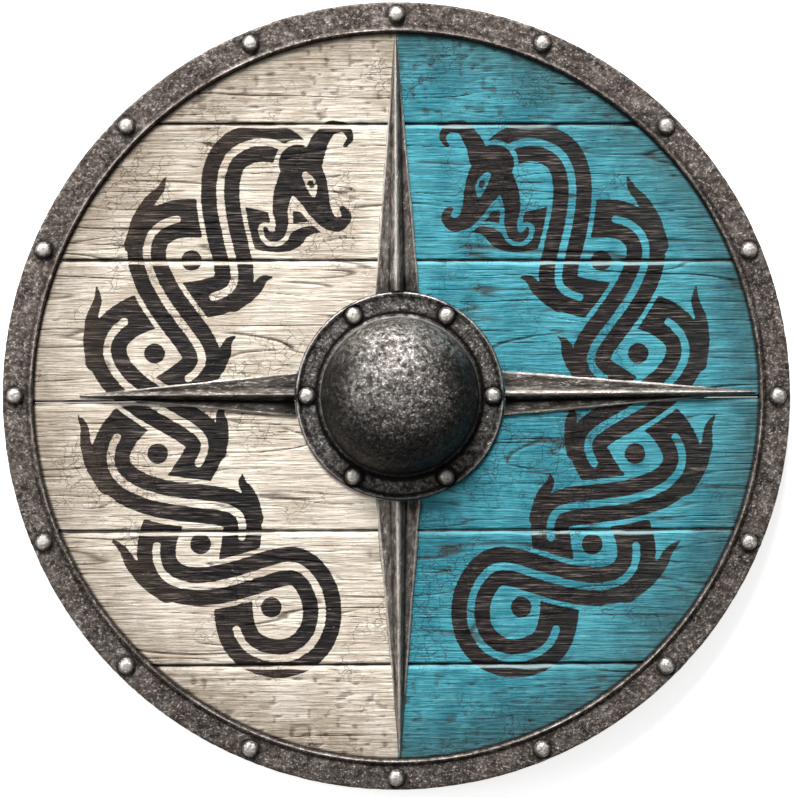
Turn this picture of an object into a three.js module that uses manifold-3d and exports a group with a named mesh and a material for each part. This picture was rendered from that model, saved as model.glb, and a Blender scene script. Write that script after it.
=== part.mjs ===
// A planked round shield, lying on its back with its painted face up (+Z).
//
// Six planks lie side by side across the shield (along X). A folded iron rim clamps their ends, a hollow
// iron boss covers the hand hole, and four ribbed iron arms run from the boss to the rim. Behind the
// planks, a wooden grip bar and two battens run across them (along Y). The flat backs of those three lie
// in the plane Z = 0, and the origin is in that plane, under the middle of the rim.
import * as THREE from "three";
import { ConvexGeometry } from "three/addons/geometries/ConvexGeometry.js";
import { mergeVertices } from "three/addons/utils/BufferGeometryUtils.js";
import Module from "manifold-3d";

const wasm = await Module();
wasm.setup();

// ---------------------------------------------------------------- driving dimensions, in millimetres

const GAP = 0.3; // clearance between pieces that fit into each other
const THROUGH = 60; // length of a cutter that passes right through the shield

// Levels, from the back of the shield to the front.
const BATTEN_THICKNESS = 12;
const PLANK_THICKNESS = 10;
const IRON_STOCK = 2;
const PLANK_BACK = BATTEN_THICKNESS;
const PLANK_FRONT = PLANK_BACK + PLANK_THICKNESS;
const PLATE_TOP = PLANK_FRONT + IRON_STOCK;

// Rim: a channel folded round the edge of the planks, with a raised bead along its inner edge in front.
const RIM_RADIUS = 305;
const RIM_WIDTH = 24;
const RIM_INNER = RIM_RADIUS - RIM_WIDTH;
const BEAD_WIDTH = 4.5;
const BEAD_HEIGHT = 1.8;
const RIM_EDGE_ROUND = 1.5;
const ROUND_SIDES = 64; // sides of the rim and of the planks' round edge, which share their corners

// Planks, from the top of the shield to the bottom, parted by five seams: each seam's height (Y) in the
// middle of the shield, and how much it climbs for each millimetre to the right.
const SEAMS = [
  { height: 210.5, slope: 0 },
  { height: 104.8, slope: 0 },
  { height: -3, slope: 0.008 },
  { height: -104.3, slope: 0.004 },
  { height: -208, slope: 0.006 },
];
const SEAM_GAP = 0.4;
const UPPER_EDGE_WIDTH = 4; // the wide bevel on each plank's upper edge
const UPPER_EDGE_DEPTH = 1.4;
const LOWER_EDGE_BEVEL = 1;
const HAND_HOLE_RADIUS = 57;

// Boss, a little to the right of the middle of the rim, as it was set by hand.
const BOSS_X = 2.8;
const FLANGE_RADIUS = 81;
const DOME_RADIUS = 61;
const DOME_HEIGHT = 50;
const DOME_FULLNESS = 2.2; // exponent of the dome's profile: 2 is an ellipse, more is fuller
const FILLET = 3;
const FILLET_HOLLOW = 0.3; // how far the middle of the fillet stands off its corner, as a share of its size
const BOSS_SIDES = 36;

// Arms: tapering plates with a sharp rib down the middle. The cross they make is turned a little.
const CROSS_X = 1;
const CROSS_Y = 1.6;
const CROSS_TURN = THREE.MathUtils.degToRad(0.35);
const ARM_ROOT = FLANGE_RADIUS - 6; // the arms are made from here, then trimmed to the flange's edge
const ARM_ROOT_HALF = 17.5;
const RIB_ROOT_HALF = 6;
const RIB_TIP_HALF = 3.4;
const RIB_POINT_HALF = 0.6;
const RIB_ROOT_HEIGHT = 6;
const RIB_TIP_HEIGHT = 4;
const RIB_SHOULDER = 0.86; // where along the arm the plate ends and the rib starts to run out to its point
const ARMS = [
  { name: "arm_right", turn: 0, reach: 277, screws: [135, 228] },
  { name: "arm_top", turn: Math.PI / 2, reach: 278.5, screws: [92, 157, 232] },
  { name: "arm_left", turn: Math.PI, reach: 246, screws: [135, 205] },
  { name: "arm_bottom", turn: -Math.PI / 2, reach: 281, screws: [92, 157, 232] },
];

// Rivets and screws.
const RIVET_SIDES = 8;
const RIVET_HEAD_RADIUS = 6.8;
const RIVET_HEAD_HEIGHT = 4.8;
const RIVET_SHANK = 2;
const PEEN_RADIUS = 4;
const PEEN_HEIGHT = 1.4;
const RIM_RIVETS = 16;
const RIM_RIVET_CIRCLE = 295;
const BOSS_RIVETS = 6;
const BOSS_RIVET_CIRCLE = 72;
const SCREW_SIDES = 6;
const SCREW_SHANK = 1.7;
const SCREW_HEAD_RADIUS = 4;
const SCREW_HEAD_DEPTH = 2.4;
const SCREW_SINK = 0.5; // how far the flat heads lie below the wood around them
const ARM_SCREW_TOP = PLANK_FRONT + 3; // the arms' screws end blind in the ribs
const BATTEN_SCREW_TOP = PLANK_FRONT - 2.5; // the battens' screws end blind in the planks

// Grip bar and battens.
const GRIP_LENGTH = 540;
const GRIP_WIDE_HALF = 21;
const GRIP_END_HALF = 13;
const HANDLE_HALF = 14;
const HANDLE_THICKNESS = 18;
const HANDLE_LENGTH = 124;
const HANDLE_SHOULDER = 12; // length over which the flat bar draws in to the handle
const HANDLE_OVERLAP = 4; // how far the handle runs into the bar at each end
const HANDLE_CLEARANCE = 6; // distance from the hand hole's edge to where the bar starts to thicken
const HANDLE_RISE = 8; // length over which the bar thickens towards the handle
const BATTENS = [
  { name: "batten_left", x: -135 },
  { name: "batten_right", x: 135 },
];
const BATTEN_WIDTH = 36;
const BATTEN_LENGTH = 464;
const BATTEN_SCREW_HEIGHTS = [221, 157, 52, -52, -157, -221]; // one screw for each plank
const WOOD_BEVEL = 2.5;

// ---------------------------------------------------------------- materials

const paintedWood = new THREE.MeshStandardMaterial({ color: 0xcdbfae, roughness: 0.85, metalness: 0 });
const bareWood = new THREE.MeshStandardMaterial({ color: 0x7a5a3c, roughness: 0.8, metalness: 0 });
const forgedIron = new THREE.MeshStandardMaterial({ color: 0x6b635c, roughness: 0.5, metalness: 0.9 });
const wornIron = new THREE.MeshStandardMaterial({ color: 0x8c857d, roughness: 0.4, metalness: 0.9 });

// ---------------------------------------------------------------- helpers

// A closed three.js geometry as a solid that can be joined and cut.
function solid(geometry) {
  const bare = geometry.clone();
  bare.deleteAttribute("normal");
  bare.deleteAttribute("uv");
  const merged = mergeVertices(bare, 1e-4);
  return new wasm.Manifold(
    new wasm.Mesh({
      numProp: 3,
      vertProperties: merged.attributes.position.array,
      triVerts: new Uint32Array(merged.index.array),
    }),
  );
}

// A solid back as a geometry with flat-shaded faces.
function geometryOf(shape) {
  const { vertProperties, triVerts } = shape.getMesh();
  const geometry = new THREE.BufferGeometry();
  geometry.setAttribute("position", new THREE.BufferAttribute(new Float32Array(vertProperties), 3));
  geometry.setIndex(new THREE.BufferAttribute(new Uint32Array(triVerts), 1));
  geometry.computeVertexNormals();
  return geometry;
}

function piece(name, shape, material) {
  const mesh = new THREE.Mesh(geometryOf(shape), material.clone());
  mesh.name = name;
  return mesh;
}

function joined(shapes) {
  return shapes.reduce((sum, shape) => sum.add(shape));
}

function cutBy(shape, cutters) {
  return cutters.reduce((rest, cutter) => rest.subtract(cutter), shape);
}

// A profile of [radius, height] points turned about the Z axis.
function turned(profile, sides) {
  const points = profile.map(([radius, height]) => new THREE.Vector2(radius, height));
  return solid(new THREE.LatheGeometry(points, sides).rotateX(Math.PI / 2));
}

// A round bar along Z, between two levels.
function roundBar(radius, low, high, sides) {
  const bar = new THREE.CylinderGeometry(radius, radius, high - low, sides);
  return solid(bar.rotateX(Math.PI / 2).translate(0, 0, (low + high) / 2));
}

function outline(points) {
  return new THREE.Shape(points.map(([x, y]) => new THREE.Vector2(x, y)));
}

// A plan outline in X and Y, raised from one level to another.
function raised(points, low, high) {
  const slab = new THREE.ExtrudeGeometry(outline(points), { depth: high - low, bevelEnabled: false });
  return solid(slab.translate(0, 0, low));
}

// A section in Y and Z, run along X through the middle for a length.
function runAlongX(points, length) {
  const bar = new THREE.ExtrudeGeometry(outline(points), { depth: length, bevelEnabled: false });
  const axes = new THREE.Matrix4().makeBasis(
    new THREE.Vector3(0, 1, 0),
    new THREE.Vector3(0, 0, 1),
    new THREE.Vector3(1, 0, 0),
  );
  return solid(bar.translate(0, 0, -length / 2).applyMatrix4(axes));
}

// A section in X and Z, run along Y through the middle for a length.
function runAlongY(points, length) {
  const bar = new THREE.ExtrudeGeometry(outline(points), { depth: length, bevelEnabled: false });
  return solid(bar.translate(0, 0, -length / 2).rotateX(Math.PI / 2));
}

function onCircle(radius, angle, centreX = 0, centreY = 0) {
  return [centreX + radius * Math.cos(angle), centreY + radius * Math.sin(angle)];
}

// ---------------------------------------------------------------- where the fasteners go

const rimRivetPlaces = Array.from({ length: RIM_RIVETS }, (_, i) =>
  onCircle(RIM_RIVET_CIRCLE, (i * 2 * Math.PI) / RIM_RIVETS),
);
const bossRivetPlaces = Array.from({ length: BOSS_RIVETS }, (_, i) =>
  onCircle(BOSS_RIVET_CIRCLE, (i * 2 * Math.PI) / BOSS_RIVETS, BOSS_X),
);

// The arms are screwed on from behind. A vertical arm's screws start in the grip bar, a side arm's inner
// screw starts in a batten, and its outer screw starts in a plank.
const armScrews = ARMS.flatMap((arm) =>
  arm.screws.map((distance, i) => ({
    name: `${arm.name}_screw_${i + 1}`,
    place: onCircle(distance, arm.turn + CROSS_TURN, CROSS_X, CROSS_Y),
    low: arm.screws.length === 2 && i === 1 ? PLANK_BACK : 0,
    top: ARM_SCREW_TOP,
  })),
);
const battenScrews = BATTENS.flatMap((batten) =>
  BATTEN_SCREW_HEIGHTS.map((height, i) => ({
    name: `${batten.name}_screw_${i + 1}`,
    place: [batten.x, height],
    low: 0,
    top: BATTEN_SCREW_TOP,
  })),
);
const allScrews = [...armScrews, ...battenScrews];

function rivetHole([x, y]) {
  return roundBar(RIVET_SHANK + GAP, 0, THROUGH, RIVET_SIDES).translate([x, y, 0]);
}

// A screw's own shape, or with a clearance, the hole for it. A hole's mouth runs on down past the head.
function screwShape({ place: [x, y], low, top }, clearance = 0) {
  const head = low + SCREW_SINK;
  const mouth = clearance > 0 ? low - 1 : head;
  const neck = head + SCREW_HEAD_DEPTH;
  const profile = [
    [0, mouth],
    [SCREW_HEAD_RADIUS + clearance, mouth],
    [SCREW_HEAD_RADIUS + clearance, head + clearance],
    [SCREW_SHANK + clearance, neck + clearance],
    [SCREW_SHANK + clearance, top + clearance],
    [0, top + clearance],
  ];
  if (clearance === 0) {
    profile.splice(2, 1);
  }
  return turned(profile, SCREW_SIDES).translate([x, y, 0]);
}

const screwHoles = allScrews.map((screw) => screwShape(screw, GAP));

// ---------------------------------------------------------------- planks

const plankRadius = RIM_RADIUS - IRON_STOCK - GAP;
const plankDisc = roundBar(plankRadius, 0, THROUGH, ROUND_SIDES);
const handHole = roundBar(HAND_HOLE_RADIUS, 0, THROUGH, BOSS_SIDES).translate([BOSS_X, 0, 0]);

function seamHeight(seam, x) {
  return seam.height + seam.slope * x;
}

// Each plank runs right across the shield between its two seams, and is trimmed to the round edge.
function plank(upperSeam, lowerSeam) {
  const corners = [-RIM_RADIUS, RIM_RADIUS].flatMap((x) => {
    const upper = seamHeight(upperSeam, x) - SEAM_GAP / 2;
    const lower = seamHeight(lowerSeam, x) + SEAM_GAP / 2;
    return [
      new THREE.Vector3(x, lower, PLANK_BACK),
      new THREE.Vector3(x, upper, PLANK_BACK),
      new THREE.Vector3(x, upper, PLANK_FRONT - UPPER_EDGE_DEPTH),
      new THREE.Vector3(x, upper - UPPER_EDGE_WIDTH, PLANK_FRONT),
      new THREE.Vector3(x, lower + LOWER_EDGE_BEVEL, PLANK_FRONT),
      new THREE.Vector3(x, lower, PLANK_FRONT - LOWER_EDGE_BEVEL),
    ];
  });
  return solid(new ConvexGeometry(corners)).intersect(plankDisc);
}

function planks() {
  const top = { height: RIM_RADIUS, slope: 0 };
  const bottom = { height: -RIM_RADIUS, slope: 0 };
  const edges = [top, ...SEAMS, bottom];
  const cutters = [handHole, ...[...rimRivetPlaces, ...bossRivetPlaces].map(rivetHole), ...screwHoles];
  return edges.slice(1).map((lowerSeam, i) => {
    const shape = plank(edges[i], lowerSeam);
    return piece(`plank_${i + 1}`, cutBy(shape, cutters), paintedWood);
  });
}

// ---------------------------------------------------------------- rim

function rim() {
  const back = PLANK_BACK - IRON_STOCK;
  const wall = RIM_RADIUS - IRON_STOCK;
  const beadTop = PLATE_TOP + BEAD_HEIGHT;
  const channel = turned(
    [
      [RIM_INNER, back],
      [RIM_RADIUS - RIM_EDGE_ROUND, back],
      [RIM_RADIUS, back + RIM_EDGE_ROUND],
      [RIM_RADIUS, PLATE_TOP - RIM_EDGE_ROUND],
      [RIM_RADIUS - RIM_EDGE_ROUND, PLATE_TOP],
      [RIM_INNER + BEAD_WIDTH, PLATE_TOP],
      [RIM_INNER + BEAD_WIDTH / 2, beadTop],
      [RIM_INNER, PLATE_TOP],
      [RIM_INNER, PLANK_FRONT],
      [wall, PLANK_FRONT],
      [wall, PLANK_BACK],
      [RIM_INNER, PLANK_BACK],
      [RIM_INNER, back],
    ],
    ROUND_SIDES,
  );
  return piece("rim", cutBy(channel, rimRivetPlaces.map(rivetHole)), forgedIron);
}

// ---------------------------------------------------------------- boss

// Points of the dome's profile from its foot to its top.
function domeProfile(radius, height, foot, steps) {
  return Array.from({ length: steps + 1 }, (_, i) => {
    const angle = (i / steps) * (Math.PI / 2);
    const across = Math.cos(angle) ** (2 / DOME_FULLNESS);
    const up = Math.sin(angle) ** (2 / DOME_FULLNESS);
    return [i === steps ? 0 : radius * across, foot + height * up];
  });
}

function boss() {
  const innerRadius = DOME_RADIUS - IRON_STOCK;
  const outside = domeProfile(DOME_RADIUS, DOME_HEIGHT - FILLET, PLATE_TOP + FILLET, 8);
  const inside = domeProfile(innerRadius, DOME_HEIGHT, PLANK_FRONT, 6);
  const shell = turned(
    [
      ...inside.reverse(),
      [FLANGE_RADIUS, PLANK_FRONT],
      [FLANGE_RADIUS, PLATE_TOP],
      [DOME_RADIUS + FILLET, PLATE_TOP],
      [DOME_RADIUS + FILLET * FILLET_HOLLOW, PLATE_TOP + FILLET * FILLET_HOLLOW],
      ...outside,
    ],
    BOSS_SIDES,
  ).translate([BOSS_X, 0, 0]);
  return piece("boss", cutBy(shell, bossRivetPlaces.map(rivetHole)), forgedIron);
}

// ---------------------------------------------------------------- arms

// An arm lies along X from inside the boss's edge, and is turned into place before it is cut.
function arm({ name, turn, reach }) {
  const shoulder = RIB_SHOULDER * reach;
  const plate = raised(
    [
      [ARM_ROOT, -ARM_ROOT_HALF],
      [shoulder, -RIB_TIP_HALF],
      [shoulder, RIB_TIP_HALF],
      [ARM_ROOT, ARM_ROOT_HALF],
    ],
    PLANK_FRONT,
    PLATE_TOP,
  );
  const ribSections = [
    { x: ARM_ROOT, half: RIB_ROOT_HALF, top: PLATE_TOP + RIB_ROOT_HEIGHT },
    { x: shoulder, half: RIB_TIP_HALF, top: PLATE_TOP + RIB_TIP_HEIGHT },
    { x: reach, half: RIB_POINT_HALF, top: PLATE_TOP },
  ];
  const ribPoints = ribSections.flatMap(({ x, half, top }) => [
    new THREE.Vector3(x, -half, PLANK_FRONT),
    new THREE.Vector3(x, half, PLANK_FRONT),
    new THREE.Vector3(x, 0, top),
  ]);
  const straight = plate.add(solid(new ConvexGeometry(ribPoints)));
  const placed = straight
    .rotate([0, 0, THREE.MathUtils.radToDeg(turn + CROSS_TURN)])
    .translate([CROSS_X, CROSS_Y, 0]);
  const flangeEdge = roundBar(FLANGE_RADIUS + GAP, 0, THROUGH, BOSS_SIDES).translate([BOSS_X, 0, 0]);
  return piece(name, cutBy(placed, [flangeEdge, ...screwHoles]), forgedIron);
}

// ---------------------------------------------------------------- rivets and screws

// A round-headed rivet: its head on the iron in front, and its peened end on the face behind.
function rivetShape(back) {
  return turned(
    [
      [0, back - PEEN_HEIGHT],
      [PEEN_RADIUS, back],
      [RIVET_SHANK, back],
      [RIVET_SHANK, PLATE_TOP],
      [RIVET_HEAD_RADIUS, PLATE_TOP],
      [RIVET_HEAD_RADIUS * 0.75, PLATE_TOP + RIVET_HEAD_HEIGHT * 0.7],
      [0, PLATE_TOP + RIVET_HEAD_HEIGHT],
    ],
    RIVET_SIDES,
  );
}

function rivets(prefix, places, back) {
  const shape = rivetShape(back);
  return places.map(([x, y], i) => {
    const number = String(i + 1).padStart(2, "0");
    return piece(`${prefix}_${number}`, shape.translate([x, y, 0]), wornIron);
  });
}

function screws() {
  return allScrews.map((screw) => piece(screw.name, screwShape(screw), wornIron));
}

// ---------------------------------------------------------------- grip bar and battens

// A flat bar's section in X and Z, with its two back edges bevelled.
function barSection(half, top) {
  return [
    [-half, WOOD_BEVEL],
    [-half + WOOD_BEVEL, 0],
    [half - WOOD_BEVEL, 0],
    [half, WOOD_BEVEL],
    [half, top],
    [-half, top],
  ];
}

// The bar's side view in Y and Z: thick where the hand holds it, with bevelled ends.
function gripSideView() {
  const end = GRIP_LENGTH / 2;
  const swell = HAND_HOLE_RADIUS - HANDLE_CLEARANCE;
  return [
    [-end, 2 * WOOD_BEVEL],
    [-end + 2 * WOOD_BEVEL, 0],
    [end - 2 * WOOD_BEVEL, 0],
    [end, 2 * WOOD_BEVEL],
    [end, PLANK_BACK],
    [swell, PLANK_BACK],
    [swell - HANDLE_RISE, HANDLE_THICKNESS],
    [-swell + HANDLE_RISE, HANDLE_THICKNESS],
    [-swell, PLANK_BACK],
    [-end, PLANK_BACK],
  ];
}

function gripBar() {
  const end = GRIP_LENGTH / 2;
  const inner = HANDLE_LENGTH / 2 - HANDLE_OVERLAP;
  const halves = [1, -1].map((side) =>
    raised(
      [
        [-HANDLE_HALF, side * inner],
        [-GRIP_WIDE_HALF, side * (inner + HANDLE_SHOULDER)],
        [-GRIP_END_HALF, side * end],
        [GRIP_END_HALF, side * end],
        [GRIP_WIDE_HALF, side * (inner + HANDLE_SHOULDER)],
        [HANDLE_HALF, side * inner],
      ],
      0,
      PLANK_BACK,
    ),
  );
  const handle = new THREE.CylinderGeometry(1, 1, HANDLE_LENGTH, 16)
    .scale(HANDLE_HALF, 1, HANDLE_THICKNESS / 2)
    .translate(0, 0, HANDLE_THICKNESS / 2);
  const shape = joined([...halves, solid(handle)])
    .intersect(runAlongY(barSection(GRIP_WIDE_HALF, THROUGH), 2 * GRIP_LENGTH))
    .intersect(runAlongX(gripSideView(), 2 * GRIP_WIDE_HALF + 2))
    .translate([CROSS_X, 0, 0]);
  return piece("grip_bar", cutBy(shape, screwHoles), bareWood);
}

function batten({ name, x }) {
  const end = BATTEN_LENGTH / 2;
  const sideView = [
    [-end, 2 * WOOD_BEVEL],
    [-end + 2 * WOOD_BEVEL, 0],
    [end - 2 * WOOD_BEVEL, 0],
    [end, 2 * WOOD_BEVEL],
    [end, PLANK_BACK],
    [-end, PLANK_BACK],
  ];
  const shape = runAlongY(barSection(BATTEN_WIDTH / 2, PLANK_BACK), BATTEN_LENGTH)
    .intersect(runAlongX(sideView, BATTEN_WIDTH + 2))
    .translate([x, 0, 0]);
  return piece(name, cutBy(shape, screwHoles), bareWood);
}

// ---------------------------------------------------------------- the shield

const shield = new THREE.Group();
shield.name = "round_shield";
shield.add(
  ...planks(),
  rim(),
  boss(),
  ...ARMS.map(arm),
  gripBar(),
  ...BATTENS.map(batten),
  ...rivets("rim_rivet", rimRivetPlaces, PLANK_BACK - IRON_STOCK),
  ...rivets("boss_rivet", bossRivetPlaces, PLANK_BACK),
  ...screws(),
);

export default shield;
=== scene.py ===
# %% [markdown]
# # A painted round shield, dressed in Blender
#
# The construction is already settled: six planks, an iron rim, a boss, four arms, rivets, and the grip bar
# and battens behind. That model is plain and exact. Here each piece gets the surface of the real thing,
# such as grain, hammer marks, paint and wear, in the same place and at the same size.
#
# Everything is in metres, with the shield on its back, its painted face towards +Z and its top towards +Y.

# %% Load the frame
import math

import bpy
import numpy as np
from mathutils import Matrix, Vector


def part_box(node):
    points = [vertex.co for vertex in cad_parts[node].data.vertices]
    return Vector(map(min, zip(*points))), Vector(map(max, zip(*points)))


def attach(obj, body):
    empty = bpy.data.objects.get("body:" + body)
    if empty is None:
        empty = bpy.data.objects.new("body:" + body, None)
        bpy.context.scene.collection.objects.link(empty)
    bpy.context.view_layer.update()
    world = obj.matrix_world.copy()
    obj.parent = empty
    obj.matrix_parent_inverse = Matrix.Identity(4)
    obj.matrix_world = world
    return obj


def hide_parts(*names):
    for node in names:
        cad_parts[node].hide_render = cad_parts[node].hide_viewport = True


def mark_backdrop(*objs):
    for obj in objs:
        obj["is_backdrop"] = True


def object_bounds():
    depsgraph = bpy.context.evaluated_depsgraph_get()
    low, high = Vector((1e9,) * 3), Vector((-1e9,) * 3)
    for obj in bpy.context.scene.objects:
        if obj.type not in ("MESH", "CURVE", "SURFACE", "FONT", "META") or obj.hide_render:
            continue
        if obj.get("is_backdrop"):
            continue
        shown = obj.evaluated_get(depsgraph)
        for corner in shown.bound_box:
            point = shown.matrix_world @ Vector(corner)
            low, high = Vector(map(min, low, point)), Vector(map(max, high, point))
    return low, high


MM = 0.001
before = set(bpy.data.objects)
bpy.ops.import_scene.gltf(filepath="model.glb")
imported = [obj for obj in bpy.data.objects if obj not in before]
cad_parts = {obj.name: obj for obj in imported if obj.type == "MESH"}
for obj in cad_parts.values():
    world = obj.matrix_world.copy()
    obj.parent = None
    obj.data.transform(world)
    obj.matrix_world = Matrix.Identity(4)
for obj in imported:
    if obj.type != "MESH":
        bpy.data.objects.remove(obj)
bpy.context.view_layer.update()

# %% [markdown]
# ## Sizes that every piece shares
#
# A dressed piece has to fit where the plain one was, so its sizes are read from the plain one's box. Only
# what a box can't tell, such as the width of a bevel, is written down here.

# %% Read the shared sizes
rim_low, rim_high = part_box("rim")
boss_low, boss_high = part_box("boss")
plank_boxes = [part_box(f"plank_{number}") for number in range(1, 7)]

RIM_RADIUS = rim_high.x
RIM_BACK = rim_low.z
PLANK_BACK = plank_boxes[0][0].z
PLANK_FRONT = plank_boxes[0][1].z
IRON = PLANK_BACK - RIM_BACK
PLATE_TOP = PLANK_FRONT + IRON
RIM_INNER = RIM_RADIUS - 24 * MM
SEAM_GAP = 0.4 * MM
BOSS_X = (boss_low.x + boss_high.x) / 2
FLANGE_RADIUS = (boss_high.x - boss_low.x) / 2
DOME_RADIUS = FLANGE_RADIUS - 20 * MM
HAND_HOLE_RADIUS = DOME_RADIUS - 4 * MM


def centre_of(node):
    """The middle of a plain node's box, as x and y."""
    low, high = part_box(node)
    return (low.x + high.x) / 2, (low.y + high.y) / 2


print("boss flange", round(2 * FLANGE_RADIUS / MM), "mm across, rim", round(2 * RIM_RADIUS / MM), "mm across")

# %% [markdown]
# ## Three small tools for shaping
#
# Nothing on a forged and weathered shield is quite smooth. Blender's Displace modifier could roughen a mesh,
# but the paint also has to know where the wood is furrowed. So the unevenness is a function of place: it
# gives the same answer when it moves a point and when it tells the paint about that point.
#
# `lumps` sets random values on the corners of a grid and blends smoothly between them. `ridges` turns the
# lines where lumps change sign into thin lines, which wander as wood grain and cracks do.

# %% Smooth random lumps, and thin wandering lines
LATTICE = 1024


def lumps(points, size, seed):
    """Smooth random values from -1 to 1, in lumps of this size: one number, or one for each of x, y and z."""
    random = np.random.default_rng(seed)
    shuffled = random.permutation(LATTICE)
    values = random.uniform(-1, 1, LATTICE)
    place = points / np.array(size, float)
    cell = np.floor(place).astype(int)
    part = place - cell
    part = part * part * (3 - 2 * part)
    total = np.zeros(len(points))
    for corner in np.ndindex(2, 2, 2):
        at = (cell + corner) % LATTICE
        key = shuffled[(shuffled[(shuffled[at[:, 0]] + at[:, 1]) % LATTICE] + at[:, 2]) % LATTICE]
        weight = np.prod(np.where(np.array(corner) == 1, part, 1 - part), axis=1)
        total += weight * values[key]
    return total


def ridges(values, sharpness):
    """1 on the lines where the values change sign, falling to 0 beside them."""
    return np.clip(1 - np.abs(values) * sharpness, 0, 1)


def rise(values, low, high):
    """0 below low, 1 above high, and smooth between."""
    share = np.clip((values - low) / (high - low), 0, 1)
    return share * share * (3 - 2 * share)


sample = np.random.default_rng(1).uniform(0, 1, (1000, 3))
print("lumps run from", round(lumps(sample, 0.1, 1).min(), 2), "to", round(lumps(sample, 0.1, 1).max(), 2))

# %% [markdown]
# `places` and `put_places` read and write all the points of a mesh at once as a table of x, y and z, and
# `note` stores one number at each point under a name, for a material to read. An operator acts on all that
# is selected, so `choose` selects one piece and nothing else.

# %% Read and write the points of a mesh
def places(piece):
    table = np.empty(len(piece.data.vertices) * 3)
    piece.data.vertices.foreach_get("co", table)
    return table.reshape(-1, 3)


def put_places(piece, table):
    piece.data.vertices.foreach_set("co", table.ravel())
    piece.data.update()


def normals(piece):
    table = np.empty(len(piece.data.vertices) * 3)
    piece.data.vertex_normals.foreach_get("vector", table)
    return table.reshape(-1, 3)


def note(piece, name, values):
    attribute = piece.data.attributes.new(name, "FLOAT", "POINT")
    attribute.data.foreach_set("value", values.astype(np.float32))


def choose(piece):
    bpy.ops.object.select_all(action="DESELECT")
    bpy.context.view_layer.objects.active = piece
    piece.select_set(True)


def edit(piece):
    """Opens one piece, and nothing else, in edit mode with all of it selected."""
    choose(piece)
    bpy.ops.object.mode_set(mode="EDIT")
    bpy.ops.mesh.select_all(action="SELECT")


def close_edit():
    """Turns all faces outwards, and goes back to the whole object."""
    bpy.ops.mesh.select_all(action="SELECT")
    bpy.ops.mesh.normals_make_consistent(inside=False)
    bpy.ops.object.mode_set(mode="OBJECT")


def apply_modifier(piece, kind, **settings):
    choose(piece)
    modifier = piece.modifiers.new(kind.lower(), kind)
    for setting, value in settings.items():
        setattr(modifier, setting, value)
    bpy.ops.object.modifier_apply(modifier=modifier.name)


print("the plain rim has", len(places(bpy.data.objects["rim"])), "points")

# %% [markdown]
# ## Shader arithmetic
#
# A finish is a sum of masks: where the paint is, where it has worn, where dirt lies. In Blender each plus
# or minus is a Math node. Here a `Value` wraps a node's socket, so that a sum can be written as a sum, and
# `Finish.add` makes any other node.

# %% Values that add up as Math nodes
class Value:
    def __init__(self, finish, socket):
        self.finish = finish
        self.socket = socket

    def math(self, operation, first, second, clamp=False):
        settings = {"operation": operation, "use_clamp": clamp}
        return self.finish.add("ShaderNodeMath", {0: first, 1: second}, settings)

    def __add__(self, other):
        return self.math("ADD", self, other)

    def __radd__(self, other):
        return self.math("ADD", other, self)

    def __sub__(self, other):
        return self.math("SUBTRACT", self, other)

    def __rsub__(self, other):
        return self.math("SUBTRACT", other, self)

    def __mul__(self, other):
        return self.math("MULTIPLY", self, other)

    def __rmul__(self, other):
        return self.math("MULTIPLY", other, self)

    def clipped(self):
        return self.math("ADD", self, 0, clamp=True)

    def between(self, low, high):
        """0 at low, 1 at high, and smooth between. Low may be above high."""
        settings = {"interpolation_type": "SMOOTHSTEP"}
        return self.finish.add("ShaderNodeMapRange", {0: self, 1: low, 2: high}, settings)


class Finish:
    def __init__(self, name):
        self.material = bpy.data.materials.new(name)
        self.material.use_nodes = True
        self.tree = self.material.node_tree
        self.surface = self.tree.nodes["Principled BSDF"]
        self.place = self.add("ShaderNodeTexCoord", output="Object")

    def add(self, kind, inputs=(), settings=(), output=0):
        """Makes a node: its settings first, then each socket's value or link, and gives back one output."""
        node = self.tree.nodes.new(kind)
        for setting, value in dict(settings).items():
            setattr(node, setting, value)
        self.fill(node, dict(inputs))
        return Value(self, node.outputs[output])

    def fill(self, node, inputs):
        for name, value in inputs.items():
            if isinstance(value, Value):
                self.tree.links.new(value.socket, node.inputs[name])
            else:
                node.inputs[name].default_value = value

    def stored(self, name):
        return self.add("ShaderNodeAttribute", settings={"attribute_name": name}, output="Fac")

    def stretched(self, scale):
        """The place on the piece, in metres, with each axis multiplied by its scale."""
        return self.add("ShaderNodeMapping", {"Vector": self.place, "Scale": scale})

    def noise(self, scale, detail=3, roughness=0.55, stretch=(1, 1, 1)):
        inputs = {"Vector": self.stretched(stretch), "Scale": scale, "Detail": detail, "Roughness": roughness}
        return self.add("ShaderNodeTexNoise", inputs)

    def plates(self, scale, shift):
        """The distance to the nearest edge of small plates, whose edges wander by this shift."""
        push = self.add("ShaderNodeTexNoise", {"Vector": self.place, "Scale": scale}, output="Color")
        inputs = {0: push, 1: (shift,) * 3, 2: self.stretched((1, 1, 1))}
        pushed = self.add("ShaderNodeVectorMath", inputs, {"operation": "MULTIPLY_ADD"})
        inputs = {"Vector": pushed, "Scale": scale}
        return self.add("ShaderNodeTexVoronoi", inputs, {"feature": "DISTANCE_TO_EDGE"})

    def mix(self, share, first, second):
        """The first colour where share is 0 or less, and the second where it is 1 or more."""
        inputs = {0: share, 6: first, 7: second}
        return self.add("ShaderNodeMix", inputs, {"data_type": "RGBA"}, output=2)

    def bump(self, height, depth):
        return self.add("ShaderNodeBump", {"Height": height, "Distance": depth})

    def set(self, **inputs):
        self.fill(self.surface, {name.replace("_", " "): value for name, value in inputs.items()})


def colour(red, green, blue):
    """A colour as mixed on a screen, from 0 to 255, as the linear light that a shader works in."""
    parts = [part / 255 for part in (red, green, blue)]
    return (*[part / 12.92 if part < 0.04 else ((part + 0.055) / 1.055) ** 2.4 for part in parts], 1)


print("mid grey is", round(colour(128, 128, 128)[0], 3), "in linear light")

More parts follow.
